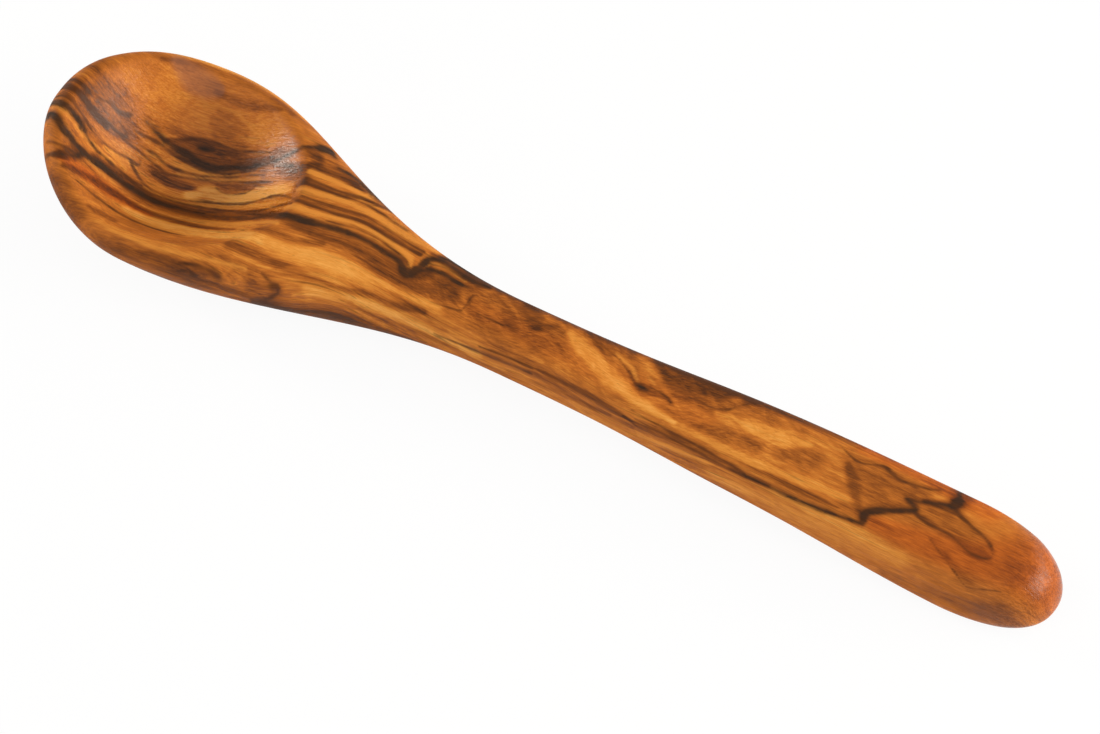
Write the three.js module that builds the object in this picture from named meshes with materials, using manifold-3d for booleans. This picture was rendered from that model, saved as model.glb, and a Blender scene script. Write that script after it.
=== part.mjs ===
// A wooden egg spoon, carved from one billet of olive wood.
//
// Millimetres, +Z up. The spoon lies on a table as it does in use, on a flat under the bowl and a flat under
// the heel of the handle. +X runs from the tip of the bowl to the butt of the handle, and the origin is on
// the table below the middle of the spoon.
//
// The body is lofted. A plan outline, a top line, an underside and a belt (the line where a section is
// widest) are drawn along the spoon, and a rounded section is fitted to them at each station. The hollow of
// the bowl is then scooped out of the crown, to an even depth below it, so that its edge rises and falls
// with the rim.

import * as THREE from 'three';
import Module from 'manifold-3d';

// Plan view. Places are measured from the tip, or from the butt end where the name says so.
const LENGTH = 130;
const BOWL_WIDTH = 28.6;
const BOWL_WIDEST_AT = 16.2;
const NECK_WIDTH = 8;
const NECK_AT = 60;
const BUTT_WIDTH = 11.7;
const BUTT_WIDEST_FROM_END = 12.5;

// Side view, top line: heights above the table, and the length over which it rounds off at each end.
const TIP_HEIGHT = 14.4;
const RIM_HEIGHT = 12.5;
const NECK_HEIGHT = 8.6;
const GRIP_HEIGHT = 8.5;
const BUTT_HEIGHT = 8.3;
const TIP_ROUND = 3;
const BUTT_ROUND = 5.4;

// Side view, underside: the keel of the bowl and the heel rest on the table, the handle arches between them.
const KEEL_AT = 27;
const NECK_LIFT = 2.6;
const GRIP_LIFT = 2.8;
const HEEL_LENGTH = 3.6;

// Flats sanded under the bowl and the heel, as the depth of wood that is taken off.
const BOWL_FLAT_DEPTH = 0.4;
const HEEL_FLAT_DEPTH = 0.2;

// Cross sections: the belt below the top of the bowl, above the underside of the handle and at the butt end.
const BOWL_BELT_DROP = 3.5;
const HANDLE_BELT_RISE = 1.8;
const BUTT_BELT_HEIGHT = 2.4;

// Cross sections: how square the crown above the belt and the belly below it are.
// A squareness of 2 is an ellipse, and a higher one is closer to a box with rounded edges.
const BOWL_CROWN_SQUARENESS = 2.6;
const BOWL_BELLY_SQUARENESS = 1.8;
const HANDLE_CROWN_SQUARENESS = 4.4;
const HANDLE_BELLY_SQUARENESS = 4.2;
const BUTT_END_SQUARENESS = 2.2;

// The hollow: an egg-shaped scoop, which reaches further from its deepest point to the neck than to the tip.
const TIP_RIM_WIDTH = 2.7;
const SIDE_RIM_WIDTH = 1.7;
const HOLLOW_TIP_REACH = 13.1;
const HOLLOW_NECK_REACH = 15.8;
const HOLLOW_DEPTH = 7.6;

// How fully the curves swell before they turn, as a share of the run to the next knot.
const TIP_FULLNESS = { side: 0.43, along: 0.6 };
const SHOULDER_PULL = { bowl: 0.3, neck: 0.53 };
const HANDLE_PULL = { neck: 0.46, butt: 0.7 };
const BUTT_FULLNESS = { side: 0.7, along: 0.7 };
const ROUND_FULLNESS = { side: 0.55, along: 0.55 };
const LINE_PULL = 0.4;

// Facets: points round a section, stations along each stretch of the spoon, and rings of the scoop.
const CROWN_POINTS = 24;
const BELLY_POINTS = 20;
const STATIONS = { tip: 9, bowl: 26, handle: 18, butt: 10 };
const SCOOP_POINTS = 72;
const SCOOP_RINGS = 12;

// The scoop runs on past the rim, by a share of its reach and then straight up, to cut clean through.
const SCOOP_OVERRUN = 0.08;
const SCOOP_HEADROOM = 5;

const wasm = await Module();
wasm.setup();

const { lerp, smoothstep } = THREE.MathUtils;
const knot = (place, height) => new THREE.Vector2(place, height);

const buttWidestAt = LENGTH - BUTT_WIDEST_FROM_END;
const buttRoundAt = LENGTH - BUTT_ROUND;
const heelAt = buttRoundAt - HEEL_LENGTH;
const gripAt = (NECK_AT + heelAt) / 2;
const tipEnd = knot(0, TIP_HEIGHT - BOWL_BELT_DROP);
const buttEnd = knot(LENGTH, BUTT_BELT_HEIGHT);

// An S-curve between two knots, level at both.
function ease(from, to, pullFrom = LINE_PULL, pullTo = LINE_PULL) {
  const run = to.x - from.x;
  return new THREE.CubicBezierCurve(
    from,
    new THREE.Vector2(from.x + run * pullFrom, from.y),
    new THREE.Vector2(to.x - run * pullTo, to.y),
    to,
  );
}

// A rounded end: upright where it leaves the end, level where it reaches the shoulder.
function round(end, shoulder, fullness = ROUND_FULLNESS) {
  const run = shoulder.x - end.x;
  const rise = shoulder.y - end.y;
  return new THREE.CubicBezierCurve(
    end,
    new THREE.Vector2(end.x, end.y + rise * fullness.side),
    new THREE.Vector2(shoulder.x - run * fullness.along, shoulder.y),
    shoulder,
  );
}

// S-curves through a row of knots.
function through(...knots) {
  return knots.slice(1).map((to, i) => ease(knots[i], to));
}

// The height of a chain of curves at one place, found by halving the curve that covers it.
function heightAt(curves, place) {
  const covers = ({ v0, v3 }) => (place - v0.x) * (place - v3.x) <= 0;
  const curve = curves.find(covers);
  const forward = curve.v3.x > curve.v0.x;
  let low = 0;
  let high = 1;
  for (let step = 0; step < 40; step += 1) {
    const middle = (low + high) / 2;
    const before = curve.getPoint(middle).x < place;
    if (before === forward) low = middle;
    else high = middle;
  }
  return curve.getPoint((low + high) / 2).y;
}

// Half the width of the spoon in plan.
function planOutline() {
  const tip = knot(0, 0);
  const bowl = knot(BOWL_WIDEST_AT, BOWL_WIDTH / 2);
  const neck = knot(NECK_AT, NECK_WIDTH / 2);
  const butt = knot(buttWidestAt, BUTT_WIDTH / 2);
  const end = knot(LENGTH, 0);
  return [
    round(tip, bowl, TIP_FULLNESS),
    ease(bowl, neck, SHOULDER_PULL.bowl, SHOULDER_PULL.neck),
    ease(neck, butt, HANDLE_PULL.neck, HANDLE_PULL.butt),
    round(end, butt, BUTT_FULLNESS),
  ];
}

// The line along the top, before the hollow is scooped out.
function topLine() {
  const tip = knot(TIP_ROUND, TIP_HEIGHT);
  const rim = knot(BOWL_WIDEST_AT, RIM_HEIGHT);
  const neck = knot(NECK_AT, NECK_HEIGHT);
  const grip = knot(gripAt, GRIP_HEIGHT);
  const butt = knot(buttRoundAt, BUTT_HEIGHT);
  return [round(tipEnd, tip), ...through(tip, rim, neck, grip, butt), round(buttEnd, butt)];
}

// The line along the underside, before the flats are sanded.
function underside() {
  const keel = knot(KEEL_AT, -BOWL_FLAT_DEPTH);
  const neck = knot(NECK_AT, NECK_LIFT);
  const grip = knot(gripAt, GRIP_LIFT);
  const heel = knot(heelAt, -HEEL_FLAT_DEPTH);
  const heelEnd = knot(buttRoundAt, -HEEL_FLAT_DEPTH);
  return [round(tipEnd, keel), ...through(keel, neck, grip, heel, heelEnd), round(buttEnd, heelEnd)];
}

// The belt, where each section is widest.
function beltLine() {
  const bowl = knot(BOWL_WIDEST_AT, RIM_HEIGHT - BOWL_BELT_DROP);
  const neck = knot(NECK_AT, NECK_LIFT + HANDLE_BELT_RISE);
  const grip = knot(gripAt, GRIP_LIFT + HANDLE_BELT_RISE);
  return through(tipEnd, bowl, neck, grip, buttEnd);
}

const lines = { plan: planOutline(), top: topLine(), under: underside(), belt: beltLine() };

// The sizes of the section at one place along the spoon.
function sectionAt(place) {
  const belt = heightAt(lines.belt, place);
  const toHandle = smoothstep(place, BOWL_WIDEST_AT, NECK_AT);
  const toEnd = smoothstep(place, buttWidestAt, LENGTH);
  const squareness = (bowl, handle) => lerp(lerp(bowl, handle, toHandle), BUTT_END_SQUARENESS, toEnd);
  return {
    halfWidth: heightAt(lines.plan, place),
    belt,
    crown: heightAt(lines.top, place) - belt,
    belly: belt - heightAt(lines.under, place),
    crownSquareness: squareness(BOWL_CROWN_SQUARENESS, HANDLE_CROWN_SQUARENESS),
    bellySquareness: squareness(BOWL_BELLY_SQUARENESS, HANDLE_BELLY_SQUARENESS),
  };
}

// One closed section, over the crown from the +Y side to the -Y side and back round the belly.
// Nothing of the belly is left below the table, which makes the two flats.
function sectionPoints(place) {
  const size = sectionAt(place);
  const bend = (value, squareness) => Math.sign(value) * Math.abs(value) ** (2 / squareness);
  const point = (angle, height, squareness) => {
    const across = size.halfWidth * bend(Math.cos(angle), squareness);
    const z = size.belt + height * bend(Math.sin(angle), squareness);
    return new THREE.Vector3(place, across, Math.max(z, 0));
  };
  const crown = (share) => point(Math.PI * share, size.crown, size.crownSquareness);
  const belly = (share) => point(Math.PI * (1 + share), size.belly, size.bellySquareness);
  return [...evenly(0, 1, CROWN_POINTS).map(crown), ...evenly(0, 1, BELLY_POINTS).map(belly)];
}

// The height of the crown over one point of the plan.
function crownHeight(place, across) {
  const { halfWidth, belt, crown, crownSquareness } = sectionAt(place);
  const share = Math.min(Math.abs(across) / halfWidth, 1);
  return belt + crown * (1 - share ** crownSquareness) ** (1 / crownSquareness);
}

// Values from one end of a range to the other, evenly spaced, without the last.
function evenly(from, to, count) {
  return Array.from({ length: count }, (_, i) => lerp(from, to, i / count));
}

// The stations of the sections, closer together towards both ends, where the form closes.
function stations() {
  const closing = (count) => evenly(0, 1, count).map((share) => 1 - Math.cos((share * Math.PI) / 2));
  return [
    ...closing(STATIONS.tip).slice(1).map((share) => share * TIP_ROUND),
    ...evenly(TIP_ROUND, NECK_AT, STATIONS.bowl),
    ...evenly(NECK_AT, buttRoundAt, STATIONS.handle),
    buttRoundAt,
    ...closing(STATIONS.butt).slice(1).map((share) => LENGTH - share * BUTT_ROUND).reverse(),
  ];
}

// Joins rings of points into one closed skin, with a point at each end.
function loft(rings, firstPoint, lastPoint) {
  const around = rings[0].length;
  const points = [...rings.flat(), firstPoint, lastPoint];
  const first = points.length - 2;
  const last = points.length - 1;
  const lastRing = (rings.length - 1) * around;
  const faces = [];
  for (let j = 0; j < around; j += 1) {
    const next = (j + 1) % around;
    faces.push(first, next, j);
    faces.push(last, lastRing + j, lastRing + next);
    for (let i = 0; i < lastRing; i += around) {
      faces.push(i + j, i + next, i + around + next);
      faces.push(i + j, i + around + next, i + around + j);
    }
  }
  const geometry = new THREE.BufferGeometry().setFromPoints(points);
  geometry.setIndex(faces);
  return geometry;
}

// The whole spoon before the bowl is hollowed.
function blank() {
  const tip = new THREE.Vector3(tipEnd.x, 0, tipEnd.y);
  const butt = new THREE.Vector3(buttEnd.x, 0, buttEnd.y);
  return loft(stations().map(sectionPoints), tip, butt);
}

// What is scooped out of the bowl: rings that climb from the deepest point, cross the crown at the edge of
// the hollow and end level, above the tip.
function scoop() {
  const deepestAt = TIP_RIM_WIDTH + HOLLOW_TIP_REACH;
  const halfWidth = BOWL_WIDTH / 2 - SIDE_RIM_WIDTH;
  const lid = TIP_HEIGHT + SCOOP_HEADROOM;
  const plan = (share, angle) => {
    const reach = Math.cos(angle) < 0 ? HOLLOW_TIP_REACH : HOLLOW_NECK_REACH;
    return [deepestAt + share * reach * Math.cos(angle), share * halfWidth * Math.sin(angle)];
  };
  const wall = (share, angle) => {
    const [place, across] = plan(share, angle);
    const depth = HOLLOW_DEPTH * (1 - share ** 2);
    return new THREE.Vector3(place, across, crownHeight(place, across) - depth);
  };
  const angles = evenly(0, 2 * Math.PI, SCOOP_POINTS);
  const brim = 1 + SCOOP_OVERRUN;
  const shares = [...evenly(0, 1, SCOOP_RINGS).slice(1), 1, brim];
  const rings = shares.map((share) => angles.map((angle) => wall(share, angle)));
  const lidRing = angles.map((angle) => new THREE.Vector3(...plan(brim, angle), lid));
  return loft([...rings, lidRing], wall(0, 0), new THREE.Vector3(deepestAt, 0, lid));
}

function toSolid(geometry) {
  const vertProperties = geometry.getAttribute('position').array;
  const triVerts = Uint32Array.from(geometry.getIndex().array);
  return new wasm.Manifold(new wasm.Mesh({ numProp: 3, vertProperties, triVerts }));
}

function toGeometry(solid) {
  const { vertProperties, triVerts } = solid.getMesh();
  const geometry = new THREE.BufferGeometry();
  geometry.setAttribute('position', new THREE.BufferAttribute(vertProperties, 3));
  geometry.setIndex(new THREE.BufferAttribute(triVerts, 1));
  return geometry;
}

function spoon() {
  const geometry = toGeometry(toSolid(blank()).subtract(toSolid(scoop())));
  geometry.translate(-LENGTH / 2, 0, 0);
  geometry.computeVertexNormals();
  const oliveWood = new THREE.MeshStandardMaterial({ color: 0xb9722f, roughness: 0.45, metalness: 0 });
  const mesh = new THREE.Mesh(geometry, oliveWood);
  mesh.name = 'spoon';
  return mesh;
}

const eggSpoon = new THREE.Group();
eggSpoon.add(spoon());

export default eggSpoon;
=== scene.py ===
"""A wooden egg spoon, carved from one billet of olive wood, on a pale table."""

import math

import bmesh
import bpy
import numpy as np
from bpy.props import FloatProperty, FloatVectorProperty, IntProperty, PointerProperty
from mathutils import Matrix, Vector


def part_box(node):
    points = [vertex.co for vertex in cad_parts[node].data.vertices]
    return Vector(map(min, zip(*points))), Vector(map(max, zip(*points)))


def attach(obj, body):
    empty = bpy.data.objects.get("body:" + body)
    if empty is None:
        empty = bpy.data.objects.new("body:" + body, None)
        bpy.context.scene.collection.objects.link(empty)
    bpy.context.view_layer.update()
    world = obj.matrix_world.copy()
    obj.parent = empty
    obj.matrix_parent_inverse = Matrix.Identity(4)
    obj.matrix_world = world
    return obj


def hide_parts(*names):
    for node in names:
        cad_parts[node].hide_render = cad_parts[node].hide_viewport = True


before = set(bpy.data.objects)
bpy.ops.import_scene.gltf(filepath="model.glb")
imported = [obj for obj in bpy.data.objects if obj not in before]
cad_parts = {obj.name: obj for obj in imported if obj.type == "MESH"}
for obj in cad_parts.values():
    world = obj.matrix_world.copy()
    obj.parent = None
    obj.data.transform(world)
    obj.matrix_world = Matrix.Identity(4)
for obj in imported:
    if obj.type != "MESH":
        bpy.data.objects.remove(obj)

bl_info = {
    "name": "Wooden Egg Spoon",
    "version": (1, 0, 0),
    "blender": (4, 5, 0),
    "location": "View3D > Sidebar > Egg Spoon",
    "description": "Carves an olive-wood egg spoon and lays it on a pale table",
    "category": "Add Mesh",
}

MM = 0.001
CAD_LOW, CAD_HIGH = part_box("spoon")


def tone(red, green, blue):
    """A colour given in display values from 0 to 255, as the linear values that shaders use."""
    def linear(value):
        part = value / 255
        return part / 12.92 if part <= 0.04045 else ((part + 0.055) / 1.055) ** 2.4

    return tuple(linear(value) for value in (red, green, blue))


def length(name, millimetres, description):
    """A length that a user may change."""
    return FloatProperty(
        name=name, description=description, default=millimetres * MM, precision=4, unit="LENGTH"
    )


def share(name, value, description):
    """A number from 0 to 1 that a user may change."""
    return FloatProperty(
        name=name, description=description, default=value, min=0.0, max=1.0, subtype="FACTOR"
    )


def angle(name, degrees, description):
    """An angle that a user may change."""
    return FloatProperty(name=name, description=description, default=math.radians(degrees), subtype="ANGLE")


def whole(name, value, least, description):
    """A whole number that a user may change."""
    return IntProperty(name=name, description=description, default=value, min=least)


def colour(name, display, description):
    """A colour that a user may change."""
    return FloatVectorProperty(
        name=name, description=description, default=tone(*display), size=3, min=0.0, max=1.0, subtype="COLOR"
    )


class EggSpoonForm(bpy.types.PropertyGroup):
    """Sizes of the carved spoon. Places are measured from the tip of the bowl."""

    length: length("Length", (CAD_HIGH.x - CAD_LOW.x) / MM, "From the tip of the bowl to the butt")
    bowl_width: length("Bowl width", (CAD_HIGH.y - CAD_LOW.y) / MM, "Across the bowl at its widest")
    bowl_widest_at: length("Bowl widest at", 16.2, "Where the bowl is widest")
    neck_width: length("Neck width", 8.0, "Across the neck at its narrowest")
    neck_at: length("Neck at", 60.0, "Where the neck is narrowest")
    butt_width: length("Butt width", 11.7, "Across the handle at its widest")
    butt_widest_from_end: length("Butt widest from end", 12.5, "From the butt end back to its widest place")
    tip_height: length("Tip height", 14.68, "Height of the tip before its rim is rounded")
    rim_height: length("Rim height", 12.5, "Height of the crown over the middle of the bowl")
    neck_height: length("Neck height", 8.6, "Height of the top at the neck")
    grip_height: length("Grip height", 8.5, "Height of the top in the middle of the handle")
    butt_height: length("Butt height", 8.3, "Height of the top where the butt starts to round off")
    tip_round: length("Tip rounding", 3.0, "Length over which the rim rounds off at the tip")
    butt_round: length("Butt rounding", 5.4, "Length over which the handle rounds off at the butt")
    keel_at: length("Keel at", 27.0, "Where the bowl rests on the table")
    neck_lift: length("Neck lift", 2.6, "Height of the underside at the neck")
    grip_lift: length("Grip lift", 2.8, "Height of the underside in the middle of the handle")
    heel_length: length("Heel length", 3.6, "Length of the heel that rests on the table")
    bowl_flat_depth: length("Bowl flat", 0.4, "Depth of wood sanded off under the bowl")
    heel_flat_depth: length("Heel flat", 0.2, "Depth of wood sanded off under the heel")
    bowl_belt_drop: length("Bowl belt drop", 3.5, "From the top of the bowl down to its widest line")
    handle_belt_rise: length("Handle belt rise", 1.8, "From the handle's underside up to its widest line")
    butt_belt_height: length("Butt belt height", 2.4, "Height of the point where the butt closes")
    tip_rim_width: length("Tip rim", 2.7, "Width of the rim at the tip")
    side_rim_width: length("Side rim", 1.7, "Width of the rim at the sides")
    hollow_tip_reach: length("Hollow to tip", 13.1, "From the hollow's deepest point towards the tip")
    hollow_neck_reach: length("Hollow to neck", 15.8, "From the hollow's deepest point towards the neck")
    hollow_depth: length("Hollow depth", 7.6, "Depth of the hollow below the crown")
    points_around: whole("Points around", 208, 32, "Points round each section")
    points_along: whole("Stations", 470, 64, "Sections along the spoon")


class EggSpoonWood(bpy.types.PropertyGroup):
    """Colours and finish of the olive wood."""

    pale: colour("Pale", (230, 161, 76), "Palest wood, in the flashes")
    gold: colour("Gold", (214, 137, 53), "Light wood between the veins")
    honey: colour("Honey", (184, 105, 35), "The wood's main colour")
    russet: colour("Russet", (255, 226, 200), "Tint of the redder wood, towards the butt")
    # Painted sheen: a cooler, greyer colour that stands in for a reflection on the far wall of the hollow.
    plum_sheen: colour("Plum", (150, 105, 85), "Painted sheen, cooler and greyer than the wood,, in a patch on the far wall of the hollow")
    umber: colour("Umber", (132, 70, 19), "Darker wood, in clouds and soft streaks")
    brown: colour("Brown", (72, 36, 6), "Streaks of heartwood")
    black: colour("Black", (42, 23, 6), "The dark veins")
    roughness: share("Roughness", 0.66, "How much the oiled surface scatters a reflection")
    polish: share("Polish", 0.43, "How much less the far half of the hollow and the butt scatter it")
    specular: share("Specular", 0.17, "Strength of the reflections")
    grain_depth: length("Grain depth", 0.12, "Depth of the open grain")


class EggSpoonStage(bpy.types.PropertyGroup):
    """Camera, lights and table."""

    azimuth: angle("Azimuth", 29.875, "Camera's turn round the spoon")
    elevation: angle("Elevation", 54.0, "Camera's height above the table, as an angle")
    distance: length("Distance", 850.0, "From the camera to the point it looks at")
    aim: FloatVectorProperty(
        name="Aim", description="Point on the table that the camera looks at",
        default=(-0.938 * MM, 1.984 * MM, 0.0), size=3, subtype="XYZ", unit="LENGTH",
    )
    lens: FloatProperty(name="Lens", description="Focal length in millimetres", default=244.5)
    table_colour: colour("Table", (250, 250, 250), "Colour of the table")
    glow: share("Glow", 0.2, "Strength of the even light from all sides")


# Lines of the form. Each is a chain of cubic curves, drawn as points in millimetres: place, then height.
# A pull is the share of a curve's run, or of its rise, over which it keeps the direction it has at a knot.

CURVE_POINTS = 160
LINE_PULL = 0.4
ROUND_PULL = 0.55


def cubic(start, first, second, end):
    """Points along one cubic curve."""
    t = np.linspace(0, 1, CURVE_POINTS)[:, None]
    ends = (1 - t) ** 3 * np.array(start) + t**3 * np.array(end)
    return ends + 3 * (1 - t) ** 2 * t * np.array(first) + 3 * (1 - t) * t**2 * np.array(second)


def ease(start, end, pull_start=LINE_PULL, pull_end=LINE_PULL):
    """An S-curve between two knots, level at both."""
    run = end[0] - start[0]
    return cubic(start, (start[0] + run * pull_start, start[1]), (end[0] - run * pull_end, end[1]), end)


def rounded(end, shoulder, side=ROUND_PULL, along=ROUND_PULL):
    """A rounded end, upright where it closes and level at the shoulder, in order of place."""
    run = shoulder[0] - end[0]
    rise = shoulder[1] - end[1]
    points = cubic(end, (end[0], end[1] + rise * side), (shoulder[0] - run * along, shoulder[1]), shoulder)
    return points if run > 0 else points[::-1]


def through(*knots):
    """S-curves through a row of knots."""
    return [ease(start, end) for start, end in zip(knots, knots[1:])]


def line(*curves):
    """A function that gives the height of a chain of curves at any place."""
    points = np.concatenate(curves)
    return lambda place: np.interp(place, points[:, 0], points[:, 1])


def smooth_step(value, low, high):
    """0 below low, 1 above high, and an even S between."""
    t = np.clip((value - low) / (high - low), 0, 1)
    return t * t * (3 - 2 * t)


class SpoonLines:
    """The plan, top, underside and belt of the spoon, in millimetres from the tip."""

    TIP_PULLS = (0.43, 0.6)
    SHOULDER_PULLS = (0.3, 0.53)
    HANDLE_PULLS = (0.46, 0.7)
    BUTT_PULLS = (0.7, 0.7)
    CROWN_SQUARENESS = (2.6, 4.4)
    BELLY_SQUARENESS = (1.8, 4.2)
    BUTT_SQUARENESS = 2.2
    RIM_SOFTNESS = 0.1
    NECK_EDGE_SOFTNESS = 0.035
    NECK_EDGE_AT = 0.8
    STATION_SHARES = (0.05, 0.31, 0.19, 0.05)
    PAST_HOLLOW = 2

    def __init__(self, form):
        for name in form.__annotations__:
            value = getattr(form, name)
            setattr(self, name, value / MM if isinstance(value, float) else value)
        end = self.length
        self.butt_widest_at = end - self.butt_widest_from_end
        self.butt_round_at = end - self.butt_round
        heel_at = self.butt_round_at - self.heel_length
        grip_at = (self.neck_at + heel_at) / 2
        tip_end = (0, self.tip_height - self.bowl_belt_drop)
        butt_end = (end, self.butt_belt_height)
        self.plan = self.draw_plan()
        tip = (self.tip_round, self.tip_height)
        butt = (self.butt_round_at, self.butt_height)
        top_knots = (
            tip,
            (self.bowl_widest_at, self.rim_height),
            (self.neck_at, self.neck_height),
            (grip_at, self.grip_height),
            butt,
        )
        self.top = line(rounded(tip_end, tip), *through(*top_knots), rounded(butt_end, butt))
        keel = (self.keel_at, -self.bowl_flat_depth)
        heel_end = (self.butt_round_at, -self.heel_flat_depth)
        under_knots = (
            keel,
            (self.neck_at, self.neck_lift),
            (grip_at, self.grip_lift),
            (heel_at, -self.heel_flat_depth),
            heel_end,
        )
        self.under = line(rounded(tip_end, keel), *through(*under_knots), rounded(butt_end, heel_end))
        self.belt = line(*through(
            tip_end,
            (self.bowl_widest_at, self.rim_height - self.bowl_belt_drop),
            (self.neck_at, self.neck_lift + self.handle_belt_rise),
            (grip_at, self.grip_lift + self.handle_belt_rise),
            butt_end,
        ))

    def draw_plan(self):
        """Half the width of the spoon."""
        bowl = (self.bowl_widest_at, self.bowl_width / 2)
        neck = (self.neck_at, self.neck_width / 2)
        butt = (self.butt_widest_at, self.butt_width / 2)
        return line(
            rounded((0, 0), bowl, *self.TIP_PULLS),
            ease(bowl, neck, *self.SHOULDER_PULLS),
            ease(neck, butt, *self.HANDLE_PULLS),
            rounded((self.length, 0), butt, *self.BUTT_PULLS),
        )

    def squareness(self, place, bowl, handle):
        """How square a section is: 2 is an ellipse, and more is closer to a box."""
        to_handle = smooth_step(place, self.bowl_widest_at, self.neck_at)
        to_end = smooth_step(place, self.butt_widest_at, self.length)
        side = bowl + (handle - bowl) * to_handle
        return side + (self.BUTT_SQUARENESS - side) * to_end

    def scoop(self, place, across):
        """Share of the hollow's depth that is carved away, with a soft edge at the rim."""
        along = place - self.tip_rim_width - self.hollow_tip_reach
        reach = np.where(along < 0, self.hollow_tip_reach, self.hollow_neck_reach)
        half_width = self.bowl_width / 2 - self.side_rim_width
        inside = 1 - (along / reach) ** 2 - (across / half_width) ** 2
        to_neck = smooth_step(along, 0, self.NECK_EDGE_AT * self.hollow_neck_reach)
        softness = self.RIM_SOFTNESS + (self.NECK_EDGE_SOFTNESS - self.RIM_SOFTNESS) * to_neck
        return (inside + np.hypot(inside, softness)) / 2

    def section(self, place, angles):
        """Across and height of the points of one section, for angles from the +Y side over the top."""
        half_width, belt = self.plan(place), self.belt(place)
        upper = np.sin(angles) >= 0
        power = np.where(
            upper,
            self.squareness(place, *self.CROWN_SQUARENESS),
            self.squareness(place, *self.BELLY_SQUARENESS),
        )

        def bend(value):
            return np.sign(value) * np.abs(value) ** (2 / power)

        across = half_width * bend(np.cos(angles))
        reach = np.where(upper, self.top(place) - belt, belt - self.under(place))
        height = belt + reach * bend(np.sin(angles))
        carved = np.where(upper, self.hollow_depth * self.scoop(place, across), 0)
        return across, np.maximum(height - carved, 0)

    def stations(self, count):
        """Places of the sections, close together in the bowl and where the ends close."""
        tip, bowl, shoulder, butt = (round(part * count) for part in self.STATION_SHARES)
        handle = count + 1 - tip - bowl - shoulder - butt
        bowl_end = self.tip_rim_width + self.hollow_tip_reach + self.hollow_neck_reach + self.PAST_HOLLOW

        def closing(number):
            return 1 - np.cos(np.linspace(0, math.pi / 2, number, endpoint=False))

        return np.concatenate([
            closing(tip) * self.tip_round,
            np.linspace(self.tip_round, bowl_end, bowl, endpoint=False),
            np.linspace(bowl_end, self.neck_at, shoulder, endpoint=False),
            np.linspace(self.neck_at, self.butt_round_at, handle, endpoint=False),
            (self.length - closing(butt) * self.butt_round)[::-1],
        ])


CROWN_SHARE = 0.71
SECTION_SAMPLES = 1200
SEAM_GAP = 1e-9


def evenly_round(lines, place, crown_points, belly_points):
    """Points of one section, evenly spaced over the crown and then round the belly."""
    rows = []
    for start, count in ((0, crown_points), (math.pi, belly_points)):
        angles = start + np.linspace(0, math.pi, SECTION_SAMPLES)
        angles = np.clip(angles, start + SEAM_GAP, start + math.pi - SEAM_GAP)
        across, height = lines.section(place, angles)
        run = np.concatenate([[0], np.cumsum(np.hypot(np.diff(across), np.diff(height)))])
        steps = np.linspace(0, run[-1], count, endpoint=False)
        rows.append(np.stack([np.interp(steps, run, across), np.interp(steps, run, height)], axis=1))
    return np.concatenate(rows)


def carve(form):
    """A sphere drawn out into the spoon: its poles become the tip and the butt, its rings the sections."""
    lines = SpoonLines(form)
    around, along = form.points_around, form.points_along
    crown = round(CROWN_SHARE * around)
    mesh = bpy.data.meshes.new("spoon_carved")
    ball = bmesh.new()
    bmesh.ops.create_uvsphere(ball, u_segments=around, v_segments=along, radius=1)
    ball.to_mesh(mesh)
    ball.free()
    points = np.empty(len(mesh.vertices) * 3)
    mesh.vertices.foreach_get("co", points)
    points = points.reshape(-1, 3)
    station = np.rint(np.arccos(np.clip(-points[:, 2], -1, 1)) / math.pi * along).astype(int)
    turn = np.rint(np.arctan2(points[:, 1], points[:, 0]) / (2 * math.pi) * around).astype(int) % around
    places = lines.stations(along)
    rings = np.array([evenly_round(lines, place, crown, around - crown) for place in places])
    spoon = np.empty_like(points)
    spoon[:, 0] = places[station] - lines.length / 2
    spoon[:, 1:] = rings[station, turn]
    mesh.vertices.foreach_set("co", (spoon * MM).ravel())
    mesh.shade_smooth()
    belly = turn >= crown
    paint_figure(mesh, lines, spoon, belly)
    mesh.update()
    return mesh


# The wood's figure, with some painted light and shade among the soft places. Places are millimetres in the
# frame of the plank that the spoon was sawn from: along the grain from the middle of the spoon, and across
# it. The third number of a point is half a streak's width there. A soft place has its weight first.

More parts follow.
